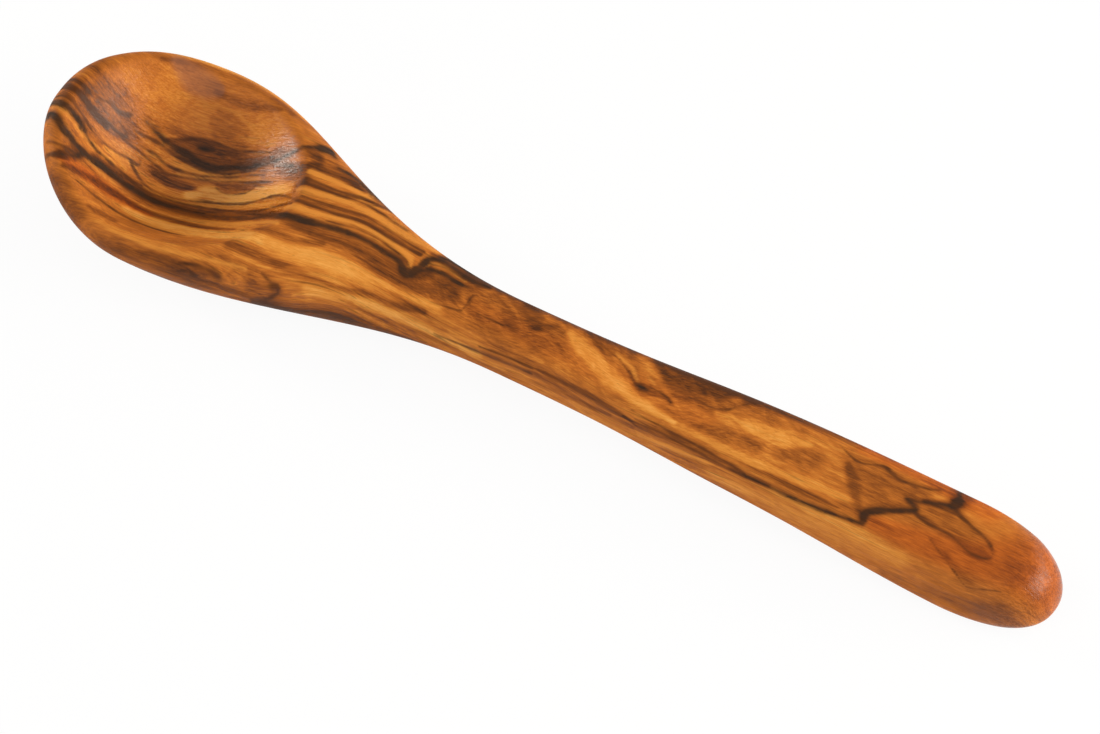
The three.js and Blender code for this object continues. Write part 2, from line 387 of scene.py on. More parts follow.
BLACK_VEINS = {
    "line in the hollow": [
        (-55.6, 3.8, .12), (-54, 3.75, .25), (-52, 3.7, .36), (-50, 3.75, .42), (-47.4, 3.6, .44),
        (-46, 3.7, .42), (-44.5, 4.2, .36), (-43.1, 4.65, .34), (-41.9, 5.1, .3), (-40.7, 5.5, .28),
        (-39.7, 5.9, .26), (-38.6, 6.55, .22), (-37.8, 7.1, .2), (-36.9, 7.7, .2), (-36, 8.3, .25),
    ],
    "eye": [(-49.4, 5.1, .05), (-48.6, 5.3, .26), (-47.6, 5.45, .08)],
    "pit": [(-37.25, 5.6, .3), (-37.1, 5.6, .3)],
    "second pit": [(-38, 5.7, .2), (-37.8, 5.65, .2)],
    "spot at the shoulder": [(-35.7, 8.6, .3), (-35, 9, .6), (-34.2, 9.2, .5), (-33.2, 8.9, .2)],
    "edge of the shoulder": [
        (-32, 7.6, .2), (-30, 7.6, .3), (-28, 6.95, .35), (-26, 6.25, .3), (-24.4, 5.95, .2),
    ],
    "band": [
        (-65, -4.2, .4), (-63.3, -4.25, .44), (-62.3, -4.5, .44), (-61.3, -4.95, .44), (-60.2, -5.35, .42),
        (-58.8, -5.45, .42), (-57.5, -5.2, .46), (-56.3, -4.9, .46), (-55, -4.6, .44), (-53.3, -4.3, .4),
        (-51.5, -3.95, .38), (-50, -3.7, .36), (-48, -3.35, .32), (-46, -3.05, .26), (-44, -2.7, .12),
    ],
    "branch of the band": [(-58.2, -5.8, .3), (-58.3, -6.6, .24), (-58.7, -7.4, .2), (-59.4, -8.1, .14)],
    "rim line": [
        (-65, -2.3, .4), (-63.2, -2.45, .46), (-61.9, -2.55, .42), (-60.6, -2.65, .36), (-59.5, -3.05, .28),
        (-58.4, -3.5, .22), (-57.2, -3.7, .15),
    ],
    "neck line": [
        (-34.2, -1.7, .4), (-32.8, -1.5, .48), (-31.4, -1.15, .44), (-30, -.7, .38), (-28.4, -.15, .34),
        (-26.8, .25, .32), (-25.2, .48, .32), (-23.4, .55, .32), (-21.6, .48, .32), (-20.2, .4, .36),
        (-19.4, .2, .46), (-18.9, -.25, .52), (-18.4, -.75, .5), (-18, -1, .4), (-17.7, -.3, .5),
        (-17.4, .6, .55), (-17.2, 1.5, .42), (-17, 2.4, .3), (-15.8, 3.05, .24), (-14.1, 2.9, .24),
        (-11.4, 2.5, .22), (-9.4, 2.65, .16),
    ],
    "beyond the kink": [
        (-17.2, .3, .2), (-16.4, 1.2, .26), (-14.5, 1.65, .28), (-12.7, 1.4, .22), (-11.4, 1.5, .08),
    ],
    "far edge of the neck": [(-16.4, 3.2, .15), (-15.2, 3.5, .3), (-13, 3.5, .35), (-10.8, 3.5, .25)],
    "zigzag": [
        (42.65, -4.7, .3), (42.45, -4, .5), (42.35, -3.4, .54), (42.7, -2.75, .5), (43.6, -2.15, .42),
        (44.7, -1.55, .36), (45.8, -.85, .34), (46.8, -.25, .34), (46.6, .3, .3), (46, .6, .3),
        (45.4, .75, .2),
    ],
    "zigzag branch": [(45.9, .75, .14), (46.8, 1.05, .1), (47.9, 1.6, .08), (49, 2, .14), (50, 2.3, .26)],
    "blob": [
        (50.2, 2.2, .3), (50.5, 2.8, .72), (50.5, 3.3, .58), (50.2, 4, .22), (49.7, 4.8, .3),
        (49.3, 5.4, .25),
    ],
    "line on the arris": [
        (26, -5.7, .06), (29, -5.7, .16), (31.3, -5.6, .22), (34.7, -5.6, .24), (36.5, -5.5, .24),
        (38.3, -5.35, .2), (40.1, -5.15, .2), (41.6, -4.95, .22), (42.6, -4.8, .24),
    ],
    "knot": [(11.9, -.5, .1), (12.5, -.75, .26), (13.2, -.8, .06)],
}

BROWN_STREAKS = {
    "upper line in the hollow": [
        (-52.8, 4.2, .15), (-51.4, 5, .2), (-50.2, 5.75, .18), (-49, 6.15, .18), (-47.8, 6.3, .18),
        (-46, 6.25, .18), (-44.3, 6.3, .18), (-43.1, 6.55, .18), (-41.9, 6.7, .16), (-40.5, 6.8, .1),
    ],
    "second line": [
        (-56, 2.1, .12), (-55, 2.4, .22), (-54.2, 2.75, .25), (-53.3, 2.98, .25), (-51.7, 3, .22),
        (-49.2, 3.05, .2), (-46.6, 3.05, .18), (-44.8, 3.45, .18), (-43.1, 4.05, .18), (-41.4, 4.65, .14),
    ],
    "third line": [
        (-55.2, 1.1, .12), (-54.2, 1.4, .2), (-53, 1.68, .22), (-51.8, 1.52, .2), (-50.7, 1.65, .2),
        (-49, 1.95, .2), (-47.4, 2.25, .18), (-46, 2.68, .18), (-44.3, 3.1, .18), (-42.8, 3.6, .18),
        (-41.4, 4.05, .16), (-40, 4.3, .12),
    ],
    "fourth line": [
        (-56.7, .3, .15), (-55.7, .35, .2), (-54.7, .58, .22), (-53.3, .68, .22), (-52.3, .7, .2),
        (-51.2, .55, .2), (-50, .9, .2), (-48.3, 1.5, .2), (-46.6, 2, .18), (-44.8, 2.4, .18),
        (-43.1, 2.85, .18), (-41.4, 3.1, .16), (-39.7, 3.4, .15), (-38.3, 3.5, .1),
    ],
    "edge of the first patch": [
        (-52.8, -.4, .08), (-51.7, -.75, .12), (-50.3, -.72, .14), (-49.2, -.35, .12), (-47.4, .2, .08),
    ],
    "edge of the second patch": [
        (-44.9, 1.5, .06), (-43.7, 1.08, .1), (-42.3, 1.28, .12), (-41, 1.7, .12), (-40.4, 2.4, .06),
    ],
    "curl": [
        (-57.6, -2.2, .12), (-56.3, -1.75, .2), (-55.2, -1.2, .22), (-54.4, -.95, .2), (-53.85, -.75, .18),
        (-54, -.25, .12),
    ],
    "line below the curl": [
        (-54.6, -1.3, .15), (-53.6, -1.85, .18), (-52.3, -2.35, .2), (-50.8, -2.38, .16), (-49, -2.1, .12),
        (-46.6, -1.4, .1), (-44.3, -.7, .16), (-42.8, -.35, .2), (-41.4, -.1, .2), (-40.3, .12, .22),
        (-39.3, .6, .22), (-38.3, 1.1, .22), (-37.4, 1.55, .22), (-36.2, 1.7, .18), (-35.2, 1.5, .14),
        (-34, 1, .12),
    ],
    "top of the band": [
        (-57.2, -3.6, .18), (-55.7, -3.4, .22), (-54.2, -3.3, .24), (-52.5, -3.2, .24), (-50.8, -2.92, .22),
        (-49.2, -2.55, .22), (-46.6, -2.1, .2), (-44.3, -1.72, .2), (-42.8, -1.5, .2), (-40.7, -1.2, .2),
        (-39, -.95, .2), (-37.6, -.65, .2), (-36.2, -.2, .2), (-35.2, .15, .2), (-34, .4, .18),
    ],
    "near wall of the hollow": [
        (-56.4, -9.6, .1), (-53.5, -9.35, .24), (-51.7, -9.2, .26), (-49.2, -9, .26), (-46, -8.7, .2),
        (-43, -8.2, .1),
    ],
    "rim, far": [(-65, 1.3, .16), (-63.3, 1.2, .26), (-62, 1, .24), (-60.8, .8, .1)],
    "rim, middle": [(-65, .2, .34), (-63.4, 0, .42), (-62, -.1, .38), (-60.8, -.2, .3), (-59.7, -.4, .22)],
    "rim, thin": [
        (-65, -1.5, .14), (-62.8, -1.5, .2), (-60.8, -1.7, .2), (-59.5, -2.1, .2), (-58.5, -2.4, .1),
    ],
    "rim, near": [(-61.6, -8.6, .1), (-60.6, -8.5, .26), (-59.4, -8.4, .3), (-58.6, -8.2, .14)],
    "ripple": [(-60.3, 1.5, .08), (-59.2, 2, .2), (-58.2, 2.2, .3), (-57.4, 2.7, .28), (-57, 3.1, .12)],
    "second ripple": [
        (-59.6, -.3, .1), (-58.4, .15, .22), (-57.2, .3, .24), (-56.4, .9, .22), (-57.6, 1.5, .1),
    ],
    "near rim": [(-61.8, -7.2, .12), (-60.4, -7.2, .22), (-59.2, -6.9, .22), (-58.4, -6.6, .1)],
    "neck, first": [
        (-34.2, 4.05, .2), (-32.4, 4.3, .22), (-30.8, 4.5, .22), (-29.6, 4.8, .22), (-28, 5.2, .22),
        (-26.4, 5.45, .22), (-24.4, 5.5, .2), (-22.8, 5.3, .2), (-21.2, 4.9, .16),
    ],
    "neck, second": [
        (-34.2, 3.3, .16), (-32.8, 3.5, .18), (-31.2, 3.85, .18), (-29.6, 4.2, .18), (-28, 4.6, .18),
        (-26.4, 4.8, .18), (-25, 4.75, .16), (-23.2, 4.5, .14), (-21.2, 4.3, .1),
    ],
    "neck, third": [
        (-33.4, 1.6, .1), (-31.4, 2, .12), (-30, 2.35, .12), (-28.4, 2.8, .13), (-27.2, 3.1, .13),
        (-26, 3.3, .12), (-24, 3.25, .12), (-22, 3.1, .14), (-20, 3, .15), (-18, 3, .15),
    ],
    "neck, fourth": [
        (-33.6, .8, .18), (-32, 1, .2), (-30.4, 1.3, .2), (-29, 1.6, .22), (-27.6, 2.1, .24),
        (-26, 2.5, .24), (-24, 2.6, .24), (-22, 2.42, .24), (-20, 2.38, .24), (-18.2, 2.4, .26),
    ],
    "neck, fifth": [
        (-29.2, .3, .08), (-27.4, .85, .12), (-26, 1.3, .14), (-24.4, 1.5, .14), (-22.8, 1.5, .14),
        (-21.2, 1.3, .15), (-19.6, 1.05, .18), (-18.8, .6, .2), (-18.2, 0, .2),
    ],
    "second wave after the kink": [
        (-16.8, 1.9, .1), (-15.2, 2.35, .18), (-13.6, 2.4, .18), (-12.2, 2.15, .1),
    ],
    "far arris": [(-3.8, 3.1, .1), (-2, 3.1, .2), (-.4, 3.1, .1)],
    "crease": [(-9.4, -1.15, .04), (-7.25, -1.05, .1), (-5.2, -1.05, .04)],
    "knot line": [(8.4, 1.4, .04), (9.2, .95, .08), (10.4, .3, .1), (11.2, -.4, .12), (11.9, -.8, .2)],
    "after the knot": [(13.3, -.2, .04), (14.6, -.3, .08), (15.8, -.6, .08), (16.3, -.9, .04)],
    "neck side, third": [
        (-12.4, -6.5, .12), (-9, -6.25, .2), (-6, -6.05, .22), (-3, -5.8, .22), (0, -5.6, .2),
    ],
    "neck side, fourth": [(-6.8, -5.2, .1), (-5, -5, .18), (-2.6, -4.85, .2), (0, -4.8, .2)],
    "outer wall": [(-41, -12.7, .05), (-38.8, -11.9, .14), (-37.2, -11.6, .16), (-35.8, -11.4, .06)],
    "outer wall, knot": [
        (-32.2, -9.1, .05), (-31, -9.3, .14), (-30.2, -9.3, .18), (-30.8, -10.2, .22), (-31.6, -11.1, .18),
    ],
    "outer wall, second knot": [(-33.8, -10.9, .05), (-32.6, -10.5, .14), (-31.4, -10.9, .14)],
    "loop": [
        (50.9, 2, .24), (52.3, 1.48, .18), (53.6, 1, .16), (55, .62, .14), (56.2, .02, .14), (57, -.75, .12),
        (57.25, -1.45, .1), (56.7, -2, .12), (55.5, -2.2, .17), (54.2, -1.95, .18), (52.9, -1.45, .17),
        (51.7, -1.12, .14), (50.5, -1.05, .12), (49.2, -1.05, .12), (48, -.8, .15), (47, -.4, .2),
    ],
    "bow above the zigzag": [
        (35.3, 3.5, .04), (37.9, 2.5, .1), (39.4, 2.7, .1), (40.6, 3.2, .12), (41.4, 3.3, .16),
        (42.4, 2.9, .2), (43.6, 2.6, .18), (45.2, 2.8, .16), (46.7, 3.1, .14), (48.1, 3.6, .08),
    ],
    "streak below the loop": [
        (50, -2.6, .03), (51.8, -3.7, .1), (53.8, -4.9, .12), (55.9, -6.5, .14), (56.8, -6.5, .1),
        (59.8, -5.3, .03),
    ],
    "arris, first": [(12.8, -4.1, .04), (16, -4.4, .12), (20, -4.6, .14), (24, -4.9, .14), (28, -5.4, .1)],
    "arris, second": [(13.5, -5, .04), (17, -5.3, .12), (21, -5.5, .14), (25, -5.7, .12), (28.5, -5.9, .06)],
    "wave on the handle": [
        (17.4, .6, .04), (18.5, .85, .1), (20.6, .78, .12), (22.1, 1.24, .14), (23.1, 2.4, .14),
        (24.4, 3.7, .1),
    ],
    "tool mark": [(-14, -2.45, .03), (-12.4, -2.2, .09), (-11.2, -1.95, .1), (-10.4, -1.72, .14)],
    "second tool mark": [(-10.5, -1.75, .16), (-10.2, -.6, .14), (-10.35, .4, .15), (-10.1, 1.2, .04)],
}

PALE_STREAKS = {
    "over the fourth line": [
        (-50, 1.35, .15), (-47.6, 1.9, .24), (-45.4, 2.45, .24), (-42.6, 3.25, .22), (-40.5, 3.7, .15),
    ],
    "over the third line": [(-50, 2.55, .2), (-47.6, 2.75, .24), (-45.6, 3.1, .22), (-43.2, 3.85, .2)],
    "over the band": [
        (-52, -2.72, .06), (-49, -2.35, .1), (-46, -1.75, .14), (-43.4, -1.2, .18), (-41, -.75, .2),
        (-38.6, -.1, .2), (-36.6, .6, .2), (-34.6, .9, .2),
    ],
    "under the band": [
        (-46, -4.4, .08), (-42.4, -3.9, .2), (-39, -3.4, .26), (-36, -3, .3), (-33.8, -3.1, .3),
    ],
    "neck, first": [
        (-34.2, 2.45, .35), (-32, 2.95, .36), (-30, 3.5, .34), (-28, 3.95, .36), (-25, 4.02, .34),
        (-22, 3.75, .34), (-19, 3.7, .3), (-16.8, 3.7, .2),
    ],
    "neck, second": [
        (-34.2, -.25, .3), (-32, .2, .32), (-30, .75, .3), (-28, 1.4, .24), (-26.4, 1.85, .22),
        (-24.4, 2.05, .24), (-22, 1.95, .28), (-20, 1.75, .36), (-18.7, 1.3, .4), (-18.4, .4, .2),
    ],
    "neck, third": [(-34.2, 5.1, .35), (-31.6, 5.45, .36), (-29, 5.8, .26), (-27, 5.95, .15)],
    "kink": [(-17.1, 2.6, .1), (-16.7, 1.9, .16), (-16.9, 1.3, .04)],
    "knot line": [(7.7, 2, .04), (9.1, 1.4, .1), (10.2, 1.05, .18), (11, .4, .2), (11.7, -.2, .1)],
    "splinter": [(12.2, 1.05, .04), (13.1, .6, .12), (13.8, .25, .04)],
    "along the arris": [(19, -3.4, .1), (22, -3.6, .14), (25.5, -3.75, .16), (29.4, -3.8, .1)],
    "along the arris, second": [(34.4, -2.95, .08), (37, -2.9, .2), (38.8, -2.8, .08)],
    "side of the handle": [
        (14.2, -7.3, .1), (16, -7.1, .26), (18, -6.8, .3), (20, -6.6, .3), (22, -6.4, .24), (24, -6.3, .1),
    ],
    "neck side": [(-10.8, -5.6, .1), (-9, -5.2, .2), (-7, -4.9, .1)],
    "rim of the bowl": [
        (-52, -12.8, .05), (-49, -13, .15), (-45, -12.7, .2), (-41, -11.8, .2), (-37, -10.6, .2),
        (-34, -9.6, .15),
    ],
    "wave after the kink": [(-16.7, 2, .04), (-15.4, 2.4, .14), (-13.6, 2.3, .14), (-12, 2, .06)],
}

# Lighter wood above 0, darker below, and in some places painted light or shade: a painted highlight on the
# far rim with painted shade under it, painted light on the near half of the hollow and the near side of the
# neck, and painted shade low on the outer wall, low on the side of the butt and, beside a dark line, along
# the far arris.
SOFT_SHADES = {
    "heart of the hollow": (-.8, [
        (-53, 3.95, .2), (-51, 4.6, .8), (-49, 5, 1.35), (-46.5, 5.05, 1.4), (-44, 5.4, 1), (-42, 5.8, .7),
        (-40.2, 6.3, .35),
    ]),
    "first patch": (-.65, [
        (-52.7, .1, .4), (-51.6, -.1, .8), (-50, -.05, .95), (-48.6, .2, .8), (-47.2, .5, .4),
    ]),
    "second patch": (-.6, [
        (-45, 1.9, .3), (-43.8, 1.75, .7), (-42.6, 1.95, .85), (-41.2, 2.35, .7), (-40.3, 2.8, .3),
    ]),
    "body of the band": (-1.05, [
        (-57, -4.6, .8), (-54, -4, 1.1), (-50, -3.65, 1.3), (-46, -3.1, 1.4), (-42, -2.55, 1.35),
        (-40, -2.2, 1.25), (-38, -1.85, 1.2), (-36, -1.65, 1), (-34, -1.75, .8),
    ]),
    "under the band": (-.75, [
        (-58.4, -9, .5), (-56.7, -8.2, .7), (-55, -7.25, .7), (-53, -6.5, .6), (-51, -6.15, .6),
        (-48, -5.7, .65), (-44, -5.35, .6), (-41, -5.1, .5), (-38.6, -4.7, .3),
    ]),
    "branch of the band": (-.9, [
        (-58.3, -5.8, .9), (-58.7, -6.8, 1.15), (-59.2, -7.9, .9), (-60, -8.4, .5),
    ]),
    "stripe over the rim": (-1, [
        (-64.6, .3, .6), (-63, 0, .8), (-61.6, -.1, .7), (-60.2, -.3, .6), (-58.6, -.3, .6),
    ]),
    "far stripe over the rim": (-.8, [(-64.6, 1.3, .5), (-63, 1.15, .6), (-61.4, .9, .5)]),
    "tip wall": (-.45, [(-61.6, 2.5, 1.6), (-59.6, 1.8, 3), (-57.6, 1.4, 2.6), (-56.4, 1.2, 1.4)]),
    "neck wall": (-.6, [(-40, 6.9, .8), (-38, 5.9, 1.7), (-36, 4.9, 1.9), (-34.6, 3.6, 1.2)]),
    "under the neck line": (-.62, [
        (-33.4, -2.2, .6), (-30.5, -1.75, 1.1), (-28, -1.3, 1.45), (-26, -.85, 1.6), (-24, -.62, 1.6),
        (-22, -.7, 1.7), (-20, -1.1, 1.95), (-18, -1.5, 1.5), (-16, -.7, 2.1), (-14, -.5, 2),
        (-12.2, -.4, 1.2),
    ]),
    "between the upper lines": (-.4, [(-34.2, 3.7, .7), (-32, 3.95, .7), (-30, 4.3, .65), (-28.4, 4.8, .5)]),
    "between the lower lines": (-.3, [
        (-33.6, 1.2, .7), (-31, 1.65, .75), (-28.4, 2.3, .75), (-26, 2.9, .75), (-24, 2.9, .75),
        (-21, 2.7, .75), (-18.3, 2.7, .7),
    ]),
    "dark of the shoulder": (-.85, [
        (-34.6, 6, .7), (-32.8, 6.6, .8), (-31, 6.85, .8), (-29.4, 6.6, .65), (-28, 6.2, .4),
    ]),
    "beside the spot": (-.7, [(-36.2, 8, .5), (-35.2, 7.6, .9), (-34.2, 6.8, .8)]),
    "russet of the shoulder": (-.35, [(-34.2, 7.5, .6), (-32.6, 7.6, .7), (-31, 7.6, .6), (-29.8, 7.4, .4)]),
    "slant on the shoulder": (-.5, [
        (-35.4, -4.5, .9), (-33, -4.4, .9), (-31, -4.15, .8), (-29.6, -3.5, .7), (-28, -2.6, .5),
    ]),
    "near arris of the neck": (-.6, [
        (-37, -8.4, .8), (-34, -7.8, .8), (-30, -7.6, .8), (-26, -7.3, .75), (-24, -7.1, .75),
        (-22, -6.3, .85), (-20, -5.6, .85), (-18, -5.5, .8), (-16, -4.7, .7), (-14, -4.2, .5),
    ]),
    "wave over the kink": (-.5, [
        (-17, 3.2, .5), (-15.6, 3.1, .7), (-14, 3, .8), (-12, 2.8, .7), (-10, 2.6, .5),
    ]),
    "outer wall": (-.35, [
        (-60, -11, 1.4), (-52, -15, 2.2), (-44, -14.6, 2.4), (-37, -13.2, 2.6), (-31, -11.4, 2),
    ]),
    "outer wall, knot": (-.25, [
        (-33.4, -10, .5), (-31.4, -9.4, .8), (-30.2, -9.2, .7), (-31, -10.4, 1), (-32.2, -11.4, .6),
    ]),
    "near rim of the tip": (-.3, [
        (-62.2, -8.6, .9), (-60.4, -10.4, 1.3), (-57.6, -12.2, 1.4), (-54, -13, 1),
    ]),
    "side of the handle": (-.5, [
        (.6, -4.6, .2), (3, -4.75, .6), (6.5, -4.8, .6), (9, -4.9, .5), (12, -5.4, .4), (14, -6, .1),
    ]),
    "neck side, dark": (-.8, [
        (-33, -12.4, .6), (-31, -12, .8), (-28, -11.6, 1.1), (-24, -11, 1.2), (-20, -10.4, 1.1),
        (-16, -9.9, .9), (-12, -9.3, .7), (-8, -8.7, .5),
    ]),
    "neck side, second": (-.35, [
        (-20.6, -8.5, .3), (-17.6, -8.2, .5), (-15, -7.7, .6), (-12.6, -7.3, .5), (-9.6, -7.1, .3),
    ]),
    "neck side, fifth": (-.4, [(-3, -7, .4), (2, -6.6, .5), (7, -6.4, .5), (10.5, -6.2, .3)]),
    "dark of the near wall": (-.5, [(-53.6, -11.6, .4), (-52, -11.5, .7), (-50.4, -11.2, .4)]),
    "gold of the far wall": (.16, [(-60, 6, 2.5), (-55, 8, 3.5), (-48, 9, 3.2), (-42, 8.6, 2.6)]),
    # A darker patch in the wood, which RUSSET_PLACES covers with a painted sheen.
    "patch under painted sheen": (-.3, [(-55, 11, 1), (-52.5, 10.6, 1.6), (-50, 11, 1)]),
    "far wall, toward the neck": (-.06, [(-45, 11, .8), (-42, 11.2, 1.6), (-39, 10.6, 1.8)]),
    "streak on the far wall": (-.45, [
        (-50.4, 10.7, .3), (-47.5, 10.7, .6), (-45, 10.9, .6), (-42, 11.3, .4),
    ]),
    "far streaks": (-.3, [(-49.2, 9.2, .3), (-47.6, 9.1, .4), (-45.4, 8.9, .3)]),
    "far streaks, second": (-.3, [(-49.6, 8.5, .3), (-47.6, 8.35, .4), (-44.6, 8.1, .3)]),
    "far streaks, third": (-.3, [(-49.4, 7.8, .3), (-47, 7.6, .4), (-44.4, 7.3, .3)]),
    "far streaks, fourth": (-.25, [(-48.6, 7.1, .3), (-46.4, 6.95, .35), (-44, 6.8, .25)]),
    "light patch": (.9, [
        (-47.4, -.6, .7), (-45.4, .6, 1), (-43.4, .3, 1), (-41, .7, 1.1), (-38.6, 2.2, 1.1), (-36, 2.6, 1.1),
    ]),
    "red by the branch": (-.15, [(-57.6, -7, .9), (-56, -6.4, 1), (-54, -5.9, .7), (-51, -5.2, .6)]),
    "gold under the band": (.62, [(-51, -7.6, .9), (-46, -7, 1.1), (-41, -6.6, 1.4), (-36, -6, 1.4)]),
    "tip rim": (-.2, [(-64, 3.4, 1.6), (-61, 6.5, 1.6), (-57, 10, 1.6)]),
    "gold of the shoulder": (.48, [
        (-34, -5.9, 1), (-30, -5.2, 1.5), (-26, -4.2, 1.8), (-22, -3.6, 1.3), (-18, -3.3, .8),
        (-13, -2.6, .7),
    ]),
    "brown of the neck": (-.3, [(-13, .6, 2.4), (-8, .6, 3.2), (-3, .4, 3.4), (1, .4, 2.6)]),
    "mottle": (-.35, [(-6, .9, .8), (-5, 0, 1.1), (-4, -.8, .7)]),
    "second mottle": (-.45, [(-4.4, 2.6, .8), (-3, 1.7, 1.2), (-1.8, .6, .8)]),
    "slant before the flash": (-.3, [(-2.2, .2, .5), (-1.2, 1, .7), (0, 1.9, .5)]),
    "flash": (.6, [
        (1.8, 1.9, .6), (2.8, 1.2, 1.1), (4, .6, 1.35), (6, -.2, 1.4), (8.3, -1.2, 1.3), (10.5, -2, 1.1),
        (13, -2.6, .8), (15.5, -2.9, .7), (18, -3.1, .4),
    ]),
    "above the flash": (-.25, [(3.4, 2.6, .5), (4.8, 2.2, .75), (6.4, 1.5, .8), (7.8, .8, .5)]),
    "shade over the flash": (-.3, [(4, 2.9, .9), (6.4, 2.4, 1.4), (9, 2.8, 1.3)]),
    "gold by the knot": (.4, [(11.6, 2.4, .5), (12.6, 1.9, .8), (13.6, 1.2, .5)]),
    "knot": (-.55, [
        (10.2, .4, .3), (11.4, -.4, .6), (12.6, -.8, .9), (13.6, -.9, .6), (15.4, -.5, .5), (16.4, -.9, .4),
    ]),
    "shade over the knot": (-.75, [(12.6, 3.2, 1.2), (15, 2.2, 2), (18, 2.4, 1.9), (21, 3, 1.3)]),
    "wave on the handle": (-.3, [
        (16.2, .1, .4), (18, .2, .6), (20, .7, .7), (21.8, 1.3, .7), (23, 2.5, .7), (24.4, 3.7, .6),
    ]),
    "shade over the wave": (-.2, [(24, 3.4, .9), (27, 2.9, 1.1), (31, 3.4, 1.1)]),
    "second flash": (.5, [
        (21.6, .3, .5), (24.6, .5, 1.1), (27, .6, 1.3), (29, .7, 1.5), (30.8, 1.1, 1.1), (32.4, 1.7, .7),
    ]),
    "shade below the second flash": (-.45, [(21, -2, .7), (24, -1.8, 1.2), (27.6, -1.5, 1)]),
    "olive past the second flash": (-.3, [(30.8, -.6, 1), (32.6, .1, 1.4), (34.6, .3, 1.3)]),
    "gold of the arris": (.35, [
        (18, -3.3, .6), (25, -3.6, .8), (30, -3.4, .8), (37, -2.8, 1), (40, -2.6, .6),
    ]),
    "above the arris": (-.45, [(28, -4.2, .1), (31, -4.1, .5), (35, -4.2, .6), (39.5, -4.2, .1)]),
    "olive by the zigzag": (-.3, [
        (37, 2.6, .8), (39, 1.4, 1.7), (42, .6, 2.2), (44.6, .9, 1.8), (47, 2.2, 1.1),
    ]),
    "slant to the zigzag": (-.5, [
        (37.6, 1.6, .5), (38.6, .4, .8), (39.6, -.8, .9), (40.6, -2.2, .8), (41.6, -3.2, .5),
    ]),
    "bow above the zigzag": (-.35, [
        (38, 2.5, .3), (40.6, 3.2, .7), (42.4, 2.9, .8), (45, 2.8, .5), (48, 3.5, .5),
    ]),
    "shade of the zigzag": (-.35, [
        (42.4, -4.5, .8), (42.1, -3.2, 1), (43.5, -1.9, 1.05), (45.3, -.7, 1), (46.6, 0, .9), (46, .8, .8),
    ]),
    "shade of the blob": (-.7, [
        (47.4, 1.4, .5), (49.4, 2.1, .8), (50.6, 2.8, 1.4), (50.6, 4.2, 1.5), (49.8, 5.6, 1.6),
    ]),
    "lower line of the loop": (-.45, [
        (47.4, -.5, .5), (50, -1.05, .5), (53, -1.5, .6), (55.4, -2.15, .6), (57, -1.7, .4),
    ]),
    "upper line of the loop": (-.35, [(51, 2, .6), (53.6, 1, .5), (55.4, .5, .45), (57, -.7, .4)]),
    "inside the loop": (-.3, [(47.6, .4, .9), (50, .5, 1.4), (53, -.2, 1.4), (55.8, -1, 1)]),
    "streak below the loop": (-.25, [(50.4, -2.8, .4), (52.8, -4, .6), (56.5, -5.9, .6)]),
    "nose": (-.18, [(61, 7, 4), (62.4, 0, 4.6), (61, -7, 4), (60, -12, 4)]),
    "tan of the neck side": (.55, [
        (-27, -8.6, .9), (-23, -7.6, 1), (-19, -6.6, 1.1), (-13, -6.4, 1.1), (-7, -6.4, .8),
    ]),
    "grey of the handle side": (-.3, [
        (-6, -3.9, .2), (-3, -4.2, .6), (-1, -4.4, .8), (1, -4.9, 1), (4, -5.2, 1.3), (8, -5.4, 1.3),
        (11, -5.8, 1), (13.4, -6.5, .4),
    ]),
    "tan low on the handle side": (.25, [
        (-9, -6.4, .7), (-5, -6.3, .9), (-2, -6.4, .9), (1, -7.5, .7), (5, -8.1, .7), (10, -8.2, .6),
        (13, -8, .3),
    ]),
    "tan of the handle side": (.3, [(24, -7.4, 1), (32, -7.2, 1.6), (42, -7.2, 1.8), (48, -7, 1.4)]),
    "right of the kink": (-.5, [(-17.2, -.6, .5), (-16.6, .2, .8), (-16.4, 1.2, .7), (-16.6, 2, .4)]),
    # Painted shade: darker towards the bottom of the bowl's outer wall.
    "painted shade low on the outer wall": (-.2, [(-50, -15, 1.6), (-44, -14.8, 2.2), (-38, -14, 2.4), (-31, -12.6, 1.8)]),
    "dark of the arris": (-.6, [
        (12.2, -5.4, .2), (14.4, -5.8, .6), (16.5, -5.5, .8), (19.4, -5.2, .9), (24.6, -5.3, .85),
        (28, -5.6, .6), (31, -5.6, .4),
    ]),
    # Partly a dark line in the wood along the far edge, partly painted shade that darkens the whole far
    # arris.
    "far arris": (-1, [
        (-12, 3.4, .8), (0, 3.5, 1), (10, 3.8, 1), (20, 4.2, 1), (30, 4.6, .9), (40, 5, .8), (46, 5.2, .5),
    ]),
    "butt": (-.12, [(48, -3, 4), (56, -2, 6), (64, 0, 7)]),
    "between the rim lines": (-.45, [
        (-63.4, -1, .7), (-61.4, -1.8, .9), (-59.6, -2.2, .9), (-58, -2.6, .7),
    ]),
    "band on the outer wall": (-.02, [
        (-49, -13.7, .8), (-45.4, -13.5, 1), (-41, -12.6, 1), (-37.5, -11.9, .8), (-35, -11.4, .5),
    ]),
    # Painted light: the near half of the hollow made lighter.
    "painted light on the near half of the hollow": (.16, [(-57, -3, 4), (-50, -4, 5.4), (-43, -2, 5.4), (-37, 2, 3.6)]),
    # Painted light: the near side of the neck made lighter.
    "painted light on the near side of the neck": (.14, [(-33, -6, 3), (-26, -5, 4.6), (-18, -5, 4.4), (-8, -5, 2.6)]),
    "before the nose": (-.1, [
        (56.4, 3, 1), (57.8, 2, 1.5), (59, .6, 1.6), (59.8, -1.4, 1.4), (60.4, -3.4, 1.2),
    ]),
    # Painted shade: darker along the low side of the butt.
    "painted shade on the low side of the butt": (-.3, [(46, -10.4, .8), (52, -10.2, 1.4), (57, -9.4, 1.8), (61, -8.4, 1.8)]),
    # Painted highlight: a light strip along the top of the far rim.
    "far rim": (.55, [
